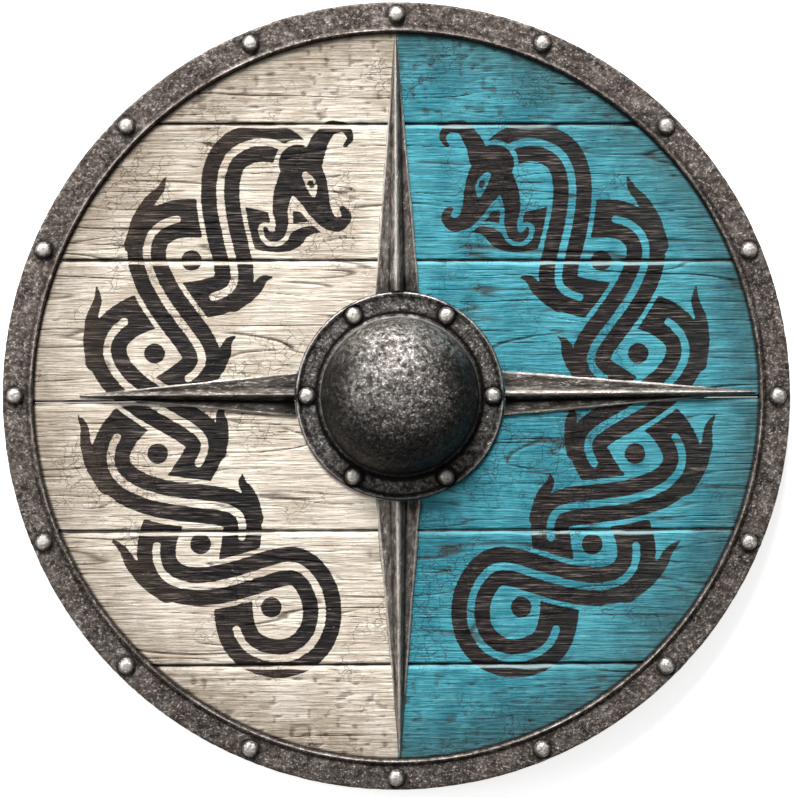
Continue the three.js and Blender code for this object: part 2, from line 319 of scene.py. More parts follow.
# %% [markdown]
# ## Seams between the planks
#
# The planks were sawn by eye, so their seams aren't quite level. Each plain plank's box reaches to the
# highest and lowest points of its edges, and two boxes that share a seam give its height and its slope.

# %% Work out each seam from the plain planks
PLANK_RADIUS = RIM_RADIUS - IRON - 1.5 * MM


def seam_between(above, below):
    height = (above[0].y + below[1].y) / 2
    climb = below[1].y - above[0].y + SEAM_GAP
    reach = min(above[1].x, below[1].x)
    return height, climb / 2 / reach


seams = [seam_between(above, below) for above, below in zip(plank_boxes, plank_boxes[1:])]
edges = [(PLANK_RADIUS - 2 * MM, 0), *seams, (2 * MM - PLANK_RADIUS, 0)]
print("seams at", [round(height / MM, 1) for height, slope in seams], "mm")

# %% [markdown]
# ## The grain of the planks
#
# Weathered softwood stands up in hard lines with furrows between, and it splits along them. All of that
# runs along the plank. So the lumps are long and thin, and their sign lines give the furrows and cracks.
# A few knots push the lines apart, as real ones do.

# %% Grain, cracks and dents as a depth below the plank's face
KNOTS = 5


def knot_push(flat, seed):
    """How far the grain is pushed up or down to go round the knots of a plank."""
    random = np.random.default_rng(seed)
    push = np.zeros(len(flat))
    low, high = flat.min(0), flat.max(0)
    for x, y in random.uniform(low[:2], high[:2], (KNOTS, 2)):
        width, length = random.uniform(4, 7) * MM, random.uniform(16, 30) * MM
        along, across = (flat[:, 0] - x) / length, (flat[:, 1] - y) / width
        push += np.exp(-(along**2) - across**2 / 4) * np.tanh(across) * width
    return push


def grain(points, seed):
    """The depth of the wood's relief, and how dark its furrows are, from 0 to 1."""
    flat = points * (1, 1, 0)
    pitted = rise(np.abs(points[:, 1]), 200 * MM, 225 * MM)
    pits = rise(lumps(flat, (4.5 * MM, 3.6 * MM, 1), seed + 9), 0.35, 0.7) * pitted
    flat[:, 1] += 1.6 * MM * lumps(flat, (60 * MM, 30 * MM, 1), seed) - knot_push(flat, seed)
    strong = rise(lumps(flat, (90 * MM, 26 * MM, 1), seed + 1), -0.7, 0.3)
    patchy = rise(lumps(flat, (34 * MM, 4 * MM, 1), seed + 8), -0.6, 0.1)
    furrows = ridges(lumps(flat, (90 * MM, 5 * MM, 1), seed + 2), 7.5) * (0.35 + 0.65 * patchy)
    fine = ridges(lumps(flat, (60 * MM, 2.9 * MM, 1), seed + 3), 4.2) * (0.3 + 0.7 * strong)
    splits = ridges(lumps(flat, (150 * MM, 17 * MM, 1), seed + 4), 22)
    splits *= rise(lumps(flat, (80 * MM, 40 * MM, 1), seed + 5), 0.05, 0.35)
    swell = lumps(flat, (120 * MM, 9 * MM, 1), seed + 6)
    dents = rise(lumps(flat, (5 * MM, 3.4 * MM, 1), seed + 7), 0.55, 0.85)
    lines = (0.7 * furrows + 0.32 * fine) * (1 - 0.55 * pitted)
    depth = lines + 1.1 * splits + 0.16 * (1 - swell) + 0.3 * dents + 0.5 * pits
    dark = np.clip(1.3 * lines + 1.1 * splits + 0.22 * dents * strong + 0.65 * pits, 0, 1)
    return depth * MM, dark


patch = np.array([(x, y, 0) for x in range(100) for y in range(100)]) * MM
print("in a patch of 100 mm the grain dips by", round(grain(patch, 1)[0].max() / MM, 1), "mm at most")

# %% [markdown]
# ## A slab with a modelled face
#
# Planks and arms are both flat behind and full of relief in front. One way makes both: a grid is bent to
# the piece's outline and relief, its border is pulled down to the back, and the back is closed. A solid
# block that is cut and sculpted would need far more faces in places where nobody looks.

# %% Make a slab from a grid
def grid(name, columns, rows):
    bpy.ops.object.select_all(action="DESELECT")
    bpy.ops.mesh.primitive_grid_add(x_subdivisions=columns, y_subdivisions=rows, size=2)
    bpy.context.object.name = name
    return bpy.context.object


def slab(name, columns, rows, face, back, chamfer=0):
    """face turns the grid's two shares, from -1 to 1, into points. The back is flat with a chamfer."""
    piece = grid(name, columns, rows)
    shares = places(piece)
    points = face(shares[:, 0], shares[:, 1])
    put_places(piece, points)
    edit(piece)
    bpy.ops.mesh.region_to_loop()
    bpy.ops.mesh.extrude_edges_move()
    bpy.ops.transform.resize(value=(1, 1, 0), center_override=(0, 0, back + chamfer))
    if chamfer:
        low, high = points.min(axis=0), points.max(axis=0)
        narrower = 1 - 2 * chamfer / (high[1] - low[1])
        bpy.ops.mesh.extrude_edges_move()
        bpy.ops.transform.resize(value=(1, 1, 0), center_override=(0, 0, back))
        bpy.ops.transform.resize(value=(1, narrower, 1), center_override=(0, (low[1] + high[1]) / 2, back))
    bpy.ops.mesh.edge_face_add()
    close_edit()
    return piece


print("planks reach from", round(PLANK_BACK / MM), "to", round(PLANK_FRONT / MM), "mm above the table")

# %% [markdown]
# ## The planks
#
# Each plank runs right across the shield. Its upper edge has a wide worn bevel and its lower edge a narrow
# one, so a dark line with a bright band under it marks each seam. The band's paleness is worn paint and
# partly a painted highlight. Both ends hide in the rim.

# %% Shape the face of one plank
UPPER_BEVEL = 4.2 * MM
UPPER_BEVEL_DEPTH = 1.7 * MM
LOWER_BEVEL = 1.7 * MM
ACROSS_GRAIN = 0.64 * MM
ALONG_GRAIN = 2.3 * MM


def edge_height(edge, x):
    return edge[0] + edge[1] * x


def bevel_share(points, upper):
    """1 at the seam above a plank, 0 past its bevel, whose width wavers because it was cut by hand."""
    width = UPPER_BEVEL * (1 + 0.22 * lumps(points * (1, 0, 0), 17 * MM, 31))
    return np.clip(1 - (edge_height(upper, points[:, 0]) - points[:, 1]) / width, 0, 1)


def groove_share(points, upper, lower):
    """How deep a point lies in the shade of a seam, from 0 to 1."""
    below = (edge_height(upper, points[:, 0]) - points[:, 1]) / (1.3 * MM)
    above = (points[:, 1] - edge_height(lower, points[:, 0])) / (1.7 * MM)
    wobble = 0.35 * lumps(points * (1, 0, 0), 9 * MM, 37)
    return np.clip(1.25 + wobble - np.minimum(below, above), 0, 1)


def plank_face(upper, lower, seed):
    def face(across, up):
        middle = edge_height(lower, 0) + (edge_height(upper, 0) - edge_height(lower, 0)) * (up + 1) / 2
        x = across * np.sqrt(PLANK_RADIUS**2 - middle**2)
        top = edge_height(upper, x) - SEAM_GAP / 2
        bottom = edge_height(lower, x) + SEAM_GAP / 2
        y = bottom + (top - bottom) * (up + 1) / 2
        points = np.stack([x, y, np.zeros(len(x))], axis=1)
        relief, _ = grain(points, seed)
        relief += UPPER_BEVEL_DEPTH * bevel_share(points, upper)
        relief += LOWER_BEVEL * np.clip(1 - (y - bottom) / LOWER_BEVEL, 0, 1)
        points[:, 2] = PLANK_FRONT - relief
        return points

    return face


def make_plank(number, upper, lower):
    height = edge_height(upper, 0) - edge_height(lower, 0)
    widest = min(abs(edge_height(upper, 0)), abs(edge_height(lower, 0)))
    width = 2 * math.sqrt(PLANK_RADIUS**2 - widest**2)
    columns, rows = round(width / ALONG_GRAIN), round(height / ACROSS_GRAIN)
    face = plank_face(upper, lower, seed=100 * number)
    return slab(f"painted_plank_{number}", columns, rows, face, PLANK_BACK, chamfer=0.8 * MM)


planks = [make_plank(i + 1, upper, lower) for i, (upper, lower) in enumerate(zip(edges, edges[1:]))]
print("planks with", [len(plank.data.polygons) for plank in planks], "faces")

# %% [markdown]
# ## The hand hole
#
# Behind the boss, the middle two planks are cut away in a round hole for the hand. A saw would follow a
# drawn circle, so a Boolean modifier with a cylinder does the same.

# %% Cut the hand hole
bpy.ops.object.select_all(action="DESELECT")
bpy.ops.mesh.primitive_cylinder_add(
    vertices=160, radius=HAND_HOLE_RADIUS, depth=0.1, location=(BOSS_X, 0, PLANK_BACK)
)
saw = bpy.context.object
for plank in planks[2:4]:
    apply_modifier(plank, "BOOLEAN", operation="DIFFERENCE", object=saw, solver="MANIFOLD")
bpy.data.objects.remove(saw)
print("hand hole", round(2 * HAND_HOLE_RADIUS / MM), "mm across")

# %% [markdown]
# ## The painted serpents
#
# Each half of the shield carries one black serpent, and the left one mirrors the right. It is drawn as a
# carver would set it out: a centre line with a width at each point. The body weaves down along an arc,
# turns in a loop at the bottom, and weaves back up through itself. It ends as a tail in its own jaws.
#
# The drawing is kept as a distance: how far each point of the wood lies outside the black. A distance
# changes evenly over the surface, so its zero line stays crisp even where the mesh is coarse, and the
# material can roughen that line as worn paint.

# %% Set out the serpent's body
ARC_RADIUS = 190 * MM
SWING = 37 * MM
CROSSING_PITCH = 78 * MM
CROSSINGS = 5
FIRST_CROSSING = -162 * MM
BODY_HALF_WIDTH = 15 * MM
CROSSING_GAP = 3.6 * MM
NECK_RADIUS = 33 * MM


def around(along, out):
    """A point given by its distance along the arc and outside it, as x and y."""
    angle = along / ARC_RADIUS
    return np.stack([(ARC_RADIUS + out) * np.cos(angle), (ARC_RADIUS + out) * np.sin(angle)], axis=-1)


def wave(along):
    return SWING * np.sin(math.pi * (along - FIRST_CROSSING) / CROSSING_PITCH)


body_bottom = FIRST_CROSSING - CROSSING_PITCH / 2
body_top = FIRST_CROSSING + (CROSSINGS - 0.5) * CROSSING_PITCH
rising = np.linspace(body_bottom, body_top, 260)
turn = np.linspace(0, math.pi, 46)[1:-1]
neck_turn = np.linspace(math.radians(-12), math.pi / 2, 36)[:-1]
tail_share = np.linspace(0, 1, 40)[1:]

neck_out = SWING - NECK_RADIUS * (1 - np.sin(neck_turn))
neck = around(body_top + NECK_RADIUS * np.cos(neck_turn), neck_out)
strand_down = around(rising[::-1], wave(rising[::-1]))
loop = around(body_bottom - SWING * np.sin(turn), -SWING * np.cos(turn))
strand_up = around(rising, -wave(rising))
tail = around(body_top + 50 * MM * tail_share, -SWING - 22 * MM * tail_share**2)
print("the weave is", round((body_top - body_bottom) / MM), "mm long")

# %% [markdown]
# Where two strands cross, one goes over. The body is cut into stretches that go over and under in turn, and
# a stretch that goes over clears a thin gap beside it in the one below.

# %% Split the body into stretches that go over and under
parts = [neck, strand_down, loop, strand_up, tail]
centre_line = np.concatenate(parts)
part_of = np.concatenate([np.full(len(part), index) for index, part in enumerate(parts)])
NOWHERE = 9.0
along_weave = np.full(len(centre_line), NOWHERE)
along_weave[part_of == 1] = rising[::-1]
along_weave[part_of == 3] = rising
crossing = (along_weave - FIRST_CROSSING) / CROSSING_PITCH
nearest = np.clip(np.round(crossing), 0, CROSSINGS - 1)
is_over = np.where(part_of <= 1, nearest % 2 == 0, nearest % 2 == 1)
near_crossing = np.abs(crossing - nearest) < 0.27
half_width = np.full(len(centre_line), BODY_HALF_WIDTH)
half_width[part_of == 4] *= 1 - 0.9 * tail_share**0.8
print(int((is_over & near_crossing).sum()), "of", len(centre_line), "samples of the body go over another")

# %% [markdown]
# The head, the leaf-shaped spurs on the bends and the round studs between the strands are drawn the same
# way, as short strokes whose width changes along them.

# %% Set out the head, spurs and studs
def stroke(points):
    """A smooth stroke through points of x, y and half-width, as many closely spaced ones."""
    points = np.array(points, float)
    length = np.concatenate([[0], np.cumsum(np.hypot(*np.diff(points[:, :2], axis=0).T))])
    steps = np.linspace(0, length[-1], max(8, round(length[-1] / (1.4 * MM))))
    dense = np.stack([np.interp(steps, length, points[:, axis]) for axis in range(3)], axis=1)
    for _ in range(4):
        dense[1:-1] = (dense[:-2] + 2 * dense[1:-1] + dense[2:]) / 4
    return dense


forward = neck[0] - neck[3]
forward /= np.hypot(*forward)
upward = np.array([forward[1], -forward[0]])


def head_stroke(*points):
    """A stroke given in millimetres: how far ahead of the neck and above it, and half its width."""
    placed = []
    for ahead, above, width in points:
        placed.append((*(neck[0] + (ahead * forward + above * upward) * MM), width * MM))
    return stroke(placed)


snout = head_stroke(
    (-8, 0, 15), (4, 2, 16), (16, 5, 12.5), (29, 6, 9), (41, 10, 6.4), (47, 18, 5), (42, 26, 4), (35, 24, 2.6)
)
jaw = head_stroke(
    (0, -8, 9), (10, -17, 7.4), (22, -23, 6), (33, -24, 5), (42, -29, 4.2), (41, -37, 3.2), (34, -38, 2)
)
lappet = head_stroke((-8, 12, 8), (-20, 20, 7), (-29, 31, 5.4), (-26, 43, 4), (-16, 45, 2.6), (-12, 39, 1.6))
eye = head_stroke((2, 3, 2.6), (8, 5.4, 4.6), (15, 5.6, 3.6), (19, 5, 1.4))
pupil = head_stroke((9, 5.4, 2.2), (11, 5.6, 2.2))
head = np.concatenate([snout, jaw, lappet])


def spur(along, way):
    """A small pointed leaf on a bend. way is 1 on the outside of the arc and -1 on the inside."""
    start = way * (SWING + BODY_HALF_WIDTH * 0.5)
    leaf = [(-12, 0, 7.5), (2, 6, 6.4), (15, 9, 4.6), (26, 8, 3.2), (33, 12, 1)]
    return stroke([(*around(along + s * MM, start + way * n * MM), width * MM) for s, n, width in leaf])


bends = [FIRST_CROSSING + (i + 0.5) * CROSSING_PITCH for i in range(CROSSINGS - 1)]
spurs = np.concatenate([spur(along, way) for along in bends for way in (1, -1)])
studs = np.array([(*around(along, 0), 8 * MM) for along in [body_bottom + 4 * MM, *bends]])
print("the head has", len(head), "circles, the spurs", len(spurs))

# %% [markdown]
# The distance to a stroke is the least distance to any of its circles. Black shapes join by taking the
# smaller distance, and a shape cuts another by taking the larger of one and the other's opposite.

# %% Measure how far each point lies outside the black
AT_ONCE = 8000


def outside(points, circles):
    """The distance from each point of x and y to the nearest of the circles given as x, y and radius."""
    distance = np.empty(len(points))
    for start in range(0, len(points), AT_ONCE):
        block = points[start : start + AT_ONCE, None, :]
        gaps = np.hypot(block[..., 0] - circles[:, 0], block[..., 1] - circles[:, 1]) - circles[:, 2]
        distance[start : start + AT_ONCE] = gaps.min(axis=1)
    return distance


def strand(points, chosen, share=1, extra=0):
    circles = np.column_stack([centre_line, half_width * share + extra])
    return outside(points, circles[chosen])


def serpent(points):
    """How far each point lies outside the black serpent, in metres, and below zero inside it."""
    points = np.column_stack([np.abs(points[:, 0]), points[:, 1]])
    over, under = strand(points, is_over), strand(points, ~is_over)
    cleared = strand(points, is_over & near_crossing, extra=CROSSING_GAP)
    body = np.minimum(over, np.maximum(under, -cleared))
    leaves = np.maximum(outside(points, spurs), -np.minimum(over, under) - 4 * MM)
    inline = strand(points, is_over | ~near_crossing, share=0.2)
    body = np.maximum(np.minimum(body, np.maximum(leaves, -cleared)), -inline)
    head_gap = outside(points, head + (0, 0, CROSSING_GAP))
    face = np.minimum(np.maximum(outside(points, head), -outside(points, eye)), outside(points, pupil))
    return np.minimum(np.minimum(np.maximum(body, -head_gap), face), outside(points, studs))


FAR = 20 * MM
FIGURE_INNER, FIGURE_OUTER = 105 * MM, 275 * MM
covered = []
for number, plank in enumerate(planks, start=1):
    points = places(plank)
    radius = np.hypot(points[:, 0], points[:, 1])
    inside = (radius > FIGURE_INNER) & (radius < FIGURE_OUTER)
    figure = np.full(len(points), FAR)
    figure[inside] = serpent(points[inside][:, :2])
    note(plank, "outside_figure", np.clip(figure, -FAR, FAR) / MM)
    note(plank, "furrow", grain(points, 100 * number)[1])
    note(plank, "bevel", bevel_share(points, edges[number - 1]))
    note(plank, "groove", groove_share(points, edges[number - 1], edges[number]))
    covered.append(round(100 * float((figure < 0).mean())))
print("black covers about", covered, "% of the planks' points")

# %% [markdown]
# ## Forged iron
#
# Iron worked by hand has shallow hammer marks, and rust has left small pits between them. `hammered` gives
# the depth of both. It never raises the surface, so a dressed piece stays within the size of the plain one.

# %% Hammer marks and pits as a depth
def hammered(points, seed, mark=7 * MM, depth=0.4 * MM):
    marks = np.abs(lumps(points, mark, seed)) + 0.5 * np.abs(lumps(points, mark / 2.3, seed + 1))
    pits = rise(lumps(points, 2.4 * MM, seed + 2), 0.45, 0.8)
    pits *= rise(lumps(points, 30 * MM, seed + 3), -0.6, 0.3)
    scale = 0.5 - 0.5 * lumps(points, 1.5 * MM, seed + 4)
    return depth * (0.9 * marks + 0.55 * pits + 0.25 * scale)


def near(values, place, width):
    """1 where the values are at this place, falling to 0 a width or two away."""
    return np.exp(-(((values - place) / width) ** 2))


def round_rivets(points, kind):
    """1 close around the rivets of one kind, where dirt gathers and a painted shade lies."""
    share = np.zeros(len(points))
    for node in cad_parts:
        if node.startswith(kind):
            x, y = centre_of(node)
            away = np.hypot(points[:, 0] - x, points[:, 1] - y)
            share = np.maximum(share, near(away, 6.5 * MM, 2.2 * MM))
    return share


print("1 mm from a lip 2 mm wide, a mask is", round(float(near(1, 0, 2)), 2))

# %% [markdown]
# ## Turned pieces
#
# The rim, the boss and the rivets are round, so each is a section spun about an axis. Flat stretches of the
# section are divided finely enough for the hammer marks.

# %% Spin a section into a round piece
def section(*corners):
    """Corners of radius, height and the spacing of points from there to the next, in millimetres."""
    points = []
    for (radius, height, spacing), (next_radius, next_height, _) in zip(corners, corners[1:]):
        count = max(1, round(math.hypot(next_radius - radius, next_height - height) / spacing))
        for step in range(count):
            share = step / count
            points.append((radius + (next_radius - radius) * share, height + (next_height - height) * share))
    points.append(corners[-1][:2])
    return np.array(points) * MM


def spun(name, outline, steps, centre=(0, 0)):
    """Spins an outline of radius and height about an upright axis. It may be a ring or start on the axis."""
    bpy.ops.object.select_all(action="DESELECT")
    bpy.ops.mesh.primitive_circle_add(vertices=len(outline), radius=0.1)
    piece = bpy.context.object
    piece.name = name
    put_places(piece, np.column_stack([outline[:, 0], np.zeros(len(outline)), outline[:, 1]]))
    edit(piece)
    bpy.ops.mesh.spin(steps=steps, angle=2 * math.pi, center=(0, 0, 0), axis=(0, 0, 1))
    bpy.ops.mesh.select_all(action="SELECT")
    bpy.ops.mesh.remove_doubles(threshold=0.005 * MM)
    bpy.ops.mesh.delete_loose(use_verts=True, use_edges=True)
    close_edit()
    put_places(piece, places(piece) + (*centre, 0))
    return piece


print("a 10 mm edge in steps of 2 mm has", len(section((0, 0, 2), (10, 0, 2))), "points")

# %% [markdown]
# The rim is one strip of iron folded round the planks' ends. Its inner edge in front was rolled into a
# narrow raised lip, which the hands and the weather have rubbed bright. Only its outer faces are hammered:
# the faces inside the fold lie against the wood.

# %% Fold the rim
rolled_lip = [(281, 22, 2.5), (281, 24.2, 0.5), (281.7, 25.3, 0.5), (282.8, 25.8, 0.5), (284.1, 25.2, 0.5)]
front = [(285.4, 24.1, 0.5), (286.2, 23.8, 0.75), (303.4, 24, 0.6), (304.5, 23.5, 0.6), (305, 22.4, 1.3)]
back = [(305, 11.4, 0.7), (304.5, 10.4, 0.7), (303.5, 10, 2.2), (282, 10, 0.8), (281, 10.6, 1.4)]
inside_fold = [(281, 12, 8), (303, 12, 5), (303, 22, 8), (281.4, 22, 8)]
rim = spun("hammered_rim", section(*rolled_lip, *front, *back, *inside_fold), steps=1150)
LIP_RADIUS = 282.8 * MM

points = places(rim)
radius = np.hypot(points[:, 0], points[:, 1])
faces_out = (points[:, 2] > PLANK_FRONT + 1 * MM) | (points[:, 2] < RIM_BACK + 1 * MM)
outer = faces_out | (radius > RIM_RADIUS - 1 * MM)
in_front = points[:, 2] > PLATE_TOP
lip = near(radius, LIP_RADIUS, 2.2 * MM) * in_front
depth = hammered(points, 700) * outer * (1 - 0.6 * lip)
put_places(rim, points - normals(rim) * depth[:, None])
patches = 0.65 + 0.35 * lumps(points, 25 * MM, 705)
note(rim, "wear_and_highlight", 0.8 * patches * near(radius, LIP_RADIUS, 0.8 * MM) * in_front)
# Dirt and a painted shade darken the creases beside the lip and along the inner edge, and round each rivet.
creases = 0.8 * near(radius, 286 * MM, 1.2 * MM) + 0.7 * near(radius, 280.9 * MM, 0.7 * MM)
note(rim, "grime_and_shade", round_rivets(points, "rim_rivet") + creases)
print("rim with", len(rim.data.polygons), "faces")

# %% [markdown]
# The boss was raised from one sheet: a hollow dome over the fist, with a flat flange that rivets hold to the
# planks. The flange's edge was upset a little, which left a lip like the rim's.

# %% Raise the boss
DOME_FULLNESS = 2.2
dome = DOME_RADIUS / MM
flange = FLANGE_RADIUS / MM
crown = boss_high.z / MM


def dome_line(radius, foot, top, steps):
    """Points from the foot of a dome to its crown, evenly spread in angle."""
    angles = np.linspace(0, math.pi / 2, steps + 1)
    across = radius * np.cos(angles) ** (2 / DOME_FULLNESS)
    across[-1] = 0
    return np.column_stack([across, foot + (top - foot) * np.sin(angles) ** (2 / DOME_FULLNESS)]) * MM


fillet = [(dome + 0.3, 26, 0.6), (dome + 1.1, 24.9, 0.6), (dome + 3, 24, 0.9), (flange - 4.2, 23.9, 0.5)]
upset_lip = [(flange - 3, 24.6, 0.5), (flange - 1.6, 24.9, 0.5), (flange - 0.4, 24.4, 0.6)]
underside = [(flange, 23.4, 0.7), (flange, 22, 6), (dome - 1.8, 22, 1)]
outer_dome = dome_line(dome, 27, crown, 72)[::-1]
inner_dome = dome_line(dome - 2, 22.4, crown - 2, 18)
boss_outline = np.concatenate([outer_dome, section(*fillet, *upset_lip, *underside), inner_dome])
boss = spun("hammered_boss", boss_outline, steps=290, centre=(BOSS_X, 0))

points = places(boss)
radius = np.hypot(points[:, 0] - BOSS_X, points[:, 1])
outward = normals(boss)
outer = rise(points[:, 2], PLANK_FRONT + 0.6 * MM, PLANK_FRONT + 1.4 * MM) * (outward[:, 2] > -0.05)
lip = near(radius, FLANGE_RADIUS - 1.7 * MM, 1.6 * MM) * (points[:, 2] < 26 * MM)
depth = hammered(points, 720, mark=8 * MM, depth=0.42 * MM) * outer * (1 - 0.7 * lip)
put_places(boss, points - outward * depth[:, None])
# A painted highlight: a bright ring round the dome's foot. The flange's lip is rubbed bright.
foot = near(radius, DOME_RADIUS + 0.4 * MM, 0.9 * MM) * (points[:, 2] > PLATE_TOP)
note(boss, "wear_and_highlight", (0.8 * near(radius, FLANGE_RADIUS - 1.4 * MM, 0.8 * MM) + 0.7 * foot) * outer)
# Darker rings at the dome's foot and inside the flange's lip: dirt, and a painted shade in those creases.
dirt_and_shade = near(radius, DOME_RADIUS + 3.6 * MM, 1.8 * MM) + 0.6 * near(radius, FLANGE_RADIUS - 4.6 * MM, 1.2 * MM)
# Painted shade: the dome is darker towards the bottom and round its sides, and the flange darker towards the
# bottom. The flange is also a little darker all over.
below = rise(-points[:, 1], -22 * MM, 36 * MM) * rise(radius, 0, 45 * MM)
steep = rise(radius, 22 * MM, 50 * MM) * (1 - rise(points[:, 1], 18 * MM, 52 * MM))
flange_dirt_and_shade = dirt_and_shade + 0.5 + 0.3 * rise(-points[:, 1], 30 * MM, 80 * MM)
dome_shade_and_dirt = np.where(points[:, 2] < 26 * MM, flange_dirt_and_shade, 1.2 * np.maximum(below, steep))
note(boss, "grime_and_shade", round_rivets(points, "boss_rivet") + dome_shade_and_dirt)
print("boss with", len(boss.data.polygons), "faces")

# %% [markdown]
# ## The arms
#
# Each arm is a long plate with a sharp rib forged down its middle, like a spearhead. The plate stops at the
# arm's shoulder, and the rib runs on to a point. The root is cut to follow the boss.

# %% Shape one arm
RIB_SHOULDER = 0.86
PLATE_HALF = (17.5 * MM, 3.9 * MM, 0.8 * MM)
RIB_HALF = (7.4 * MM, 3.9 * MM, 0.8 * MM)
RIDGE_HEIGHT = (8 * MM, 6 * MM, 1.4 * MM)
RIB_ROUNDNESS = 1.55
CROSS = np.array([1 * MM, 1.6 * MM])
CROSS_TURN = math.radians(0.35)
ARM_ROOT = FLANGE_RADIUS - 6 * MM


def directions(turn):
    """Along an arm and across it, to its left."""
    return np.array([math.cos(turn), math.sin(turn)]), np.array([-math.sin(turn), math.cos(turn)])


def along_arm(x, reach, sizes):
    """A size that changes evenly from the arm's root to its shoulder, and from there to its point."""
    return np.interp(x, [ARM_ROOT, RIB_SHOULDER * reach, reach], sizes)


def arm_face(turn, reach, seed):
    along, across = directions(turn)
    boss_from_cross = np.array([BOSS_X, 0]) - CROSS
    boss_along, boss_across = boss_from_cross @ along, boss_from_cross @ across

    def face(share_along, share_across):
        steps = (share_along + 1) / 2
        centre = ARM_ROOT + (reach - ARM_ROOT) * steps
        plate = along_arm(centre, reach, PLATE_HALF)
        rib = along_arm(centre, reach, RIB_HALF)
        ridge = along_arm(centre, reach, RIDGE_HEIGHT)
        sides = np.column_stack([centre, np.sign(share_across), steps * 0])
        nicks = 1 + 0.05 * lumps(sides, (9 * MM, 1, 1), seed)
        y = share_across * plate * np.where(np.abs(share_across) > 0.98, nicks, 1)
        root = boss_along + np.sqrt((FLANGE_RADIUS + 0.5 * MM) ** 2 - (y - boss_across) ** 2)
        x = root + (reach - root) * steps
        flank = PLANK_FRONT + ridge * (1 - np.clip(np.abs(y) / rib, 0, 1) ** RIB_ROUNDNESS)
        to_edge = np.clip((plate - np.abs(y)) / (1.2 * MM), 0, 1)
        edge = np.where(centre < RIB_SHOULDER * reach, PLATE_TOP - 0.9 * MM * (1 - to_edge) ** 2, 0)
        z = np.maximum(np.maximum(flank, edge), PLANK_FRONT + 0.7 * MM)
        depth = hammered(np.column_stack([x, y, z]), seed + 2, mark=6 * MM, depth=0.3 * MM)
        z -= depth * np.where(np.abs(y) > 1.5 * MM, 1, 0.5)
        flat = CROSS + x[:, None] * along + y[:, None] * across
        return np.column_stack([flat, np.maximum(z, PLANK_FRONT + 0.4 * MM)])

    return face


print("the cross is turned", round(math.degrees(CROSS_TURN), 2), "degrees")

# %% [markdown]
# An arm is rubbed bright along its ridge and edges, the left arm's ridge less. It is darker in the valley
# beside the rib and near the boss. A painted shade lies on the side that faces away from the light: under the
# rib on the side arms, and on the right half of the upright ones.

# %% Make the four arms
LEVEL_ARMS = ("arm_right", "arm_left")


def make_arm(name, turn, reach, seed):
    arm = slab(f"ribbed_{name}", 190, 44, arm_face(turn + CROSS_TURN, reach, seed), PLANK_FRONT)
    points = places(arm)
    from_cross = points[:, :2] - CROSS
    along, across = directions(turn + CROSS_TURN)
    x, off_ridge = from_cross @ along, np.abs(from_cross @ across)
    plate, rib = along_arm(x, reach, PLATE_HALF), along_arm(x, reach, RIB_HALF)
    ridge = near(off_ridge, 0, 0.32 * rib) * (0.4 if name == "arm_left" else 1)
    arris = near(off_ridge, plate - 0.4 * MM, 1.1 * MM) * (points[:, 2] > PLANK_FRONT)
    wear_and_highlight = ridge + arris
    note(arm, "wear_and_highlight", wear_and_highlight)
    if name in LEVEL_ARMS:
        # A painted shadow of the rib on the side arm's lower half, half as dark out on the plate.
        below_ridge = rise(-from_cross[:, 1], 1.2 * MM, 2.8 * MM)
        shaded = 0.9 * below_ridge * (1 - 0.5 * rise(off_ridge, 1.1 * rib, 1.6 * rib))
    else:
        # A painted shade on the right half of the upright arms.
        shaded = 0.3 * rise(from_cross[:, 0], 1 * MM, 3 * MM)
    valley = 0.85 * near(off_ridge, 0.86 * rib, 0.9 * MM)
    by_boss = 0.7 * rise(x, 96 * MM, 80 * MM)
    note(arm, "grime_and_shade", valley + by_boss + shaded * (1 - 0.7 * np.clip(wear_and_highlight, 0, 1)))
    return arm


reaches = {
    "arm_right": (0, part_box("arm_right")[1].x - CROSS[0]),
    "arm_top": (math.pi / 2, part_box("arm_top")[1].y - CROSS[1]),
    "arm_left": (math.pi, CROSS[0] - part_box("arm_left")[0].x),
    "arm_bottom": (-math.pi / 2, CROSS[1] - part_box("arm_bottom")[0].y),
}
arms = {name: make_arm(name, *where, seed=740 + 10 * i) for i, (name, where) in enumerate(reaches.items())}
print("arms reach", {name: round(float(reach) / MM) for name, (turn, reach) in reaches.items()})

# %% [markdown]
# ## Rivets
#
# A smith closes a hot rivet with a few blows, so its head is a dome with small flats. Each rivet is spun on
# its own and gets its own blows, as no two would be alike.

# %% Close the rivets
HEAD = 6.8
HEAD_HEIGHT = 4.8


def rivet_outline(back):
    """From the crown of the head, down and round to the peened end behind, ending on the axis."""
    angles = np.linspace(math.pi / 2, 0, 13)
    dome_height = 24.5 + (HEAD_HEIGHT - 0.5) * np.sin(angles) ** 0.95
    head = np.column_stack([HEAD * np.cos(angles) ** 0.9, dome_height])
    head[0, 0] = 0  # the crown lies on the axis
    shank = [(HEAD, 24), (2, 24), (2, back)]
    peened = [(4, back), (3.4, back - 0.8), (1.8, back - 1.3), (0, back - 1.4)]
    return np.concatenate([head, shank, peened]) * MM


def make_rivet(name, back, seed):
    rivet = spun(f"hammered_{name}", rivet_outline(back / MM), steps=36, centre=centre_of(name))
    points = places(rivet)
    head = points[:, 2] > PLATE_TOP + 0.2 * MM
    depth = hammered(points, seed, mark=4.5 * MM, depth=0.32 * MM) * head
    put_places(rivet, points - normals(rivet) * depth[:, None])
    note(rivet, "wear_and_highlight", near(points[:, 2], PLATE_TOP + HEAD_HEIGHT * MM, 1.3 * MM))
    # Dirt and a painted shade darken the foot of the head.
    note(rivet, "grime_and_shade", near(points[:, 2], PLATE_TOP, 1.3 * MM))
    return rivet


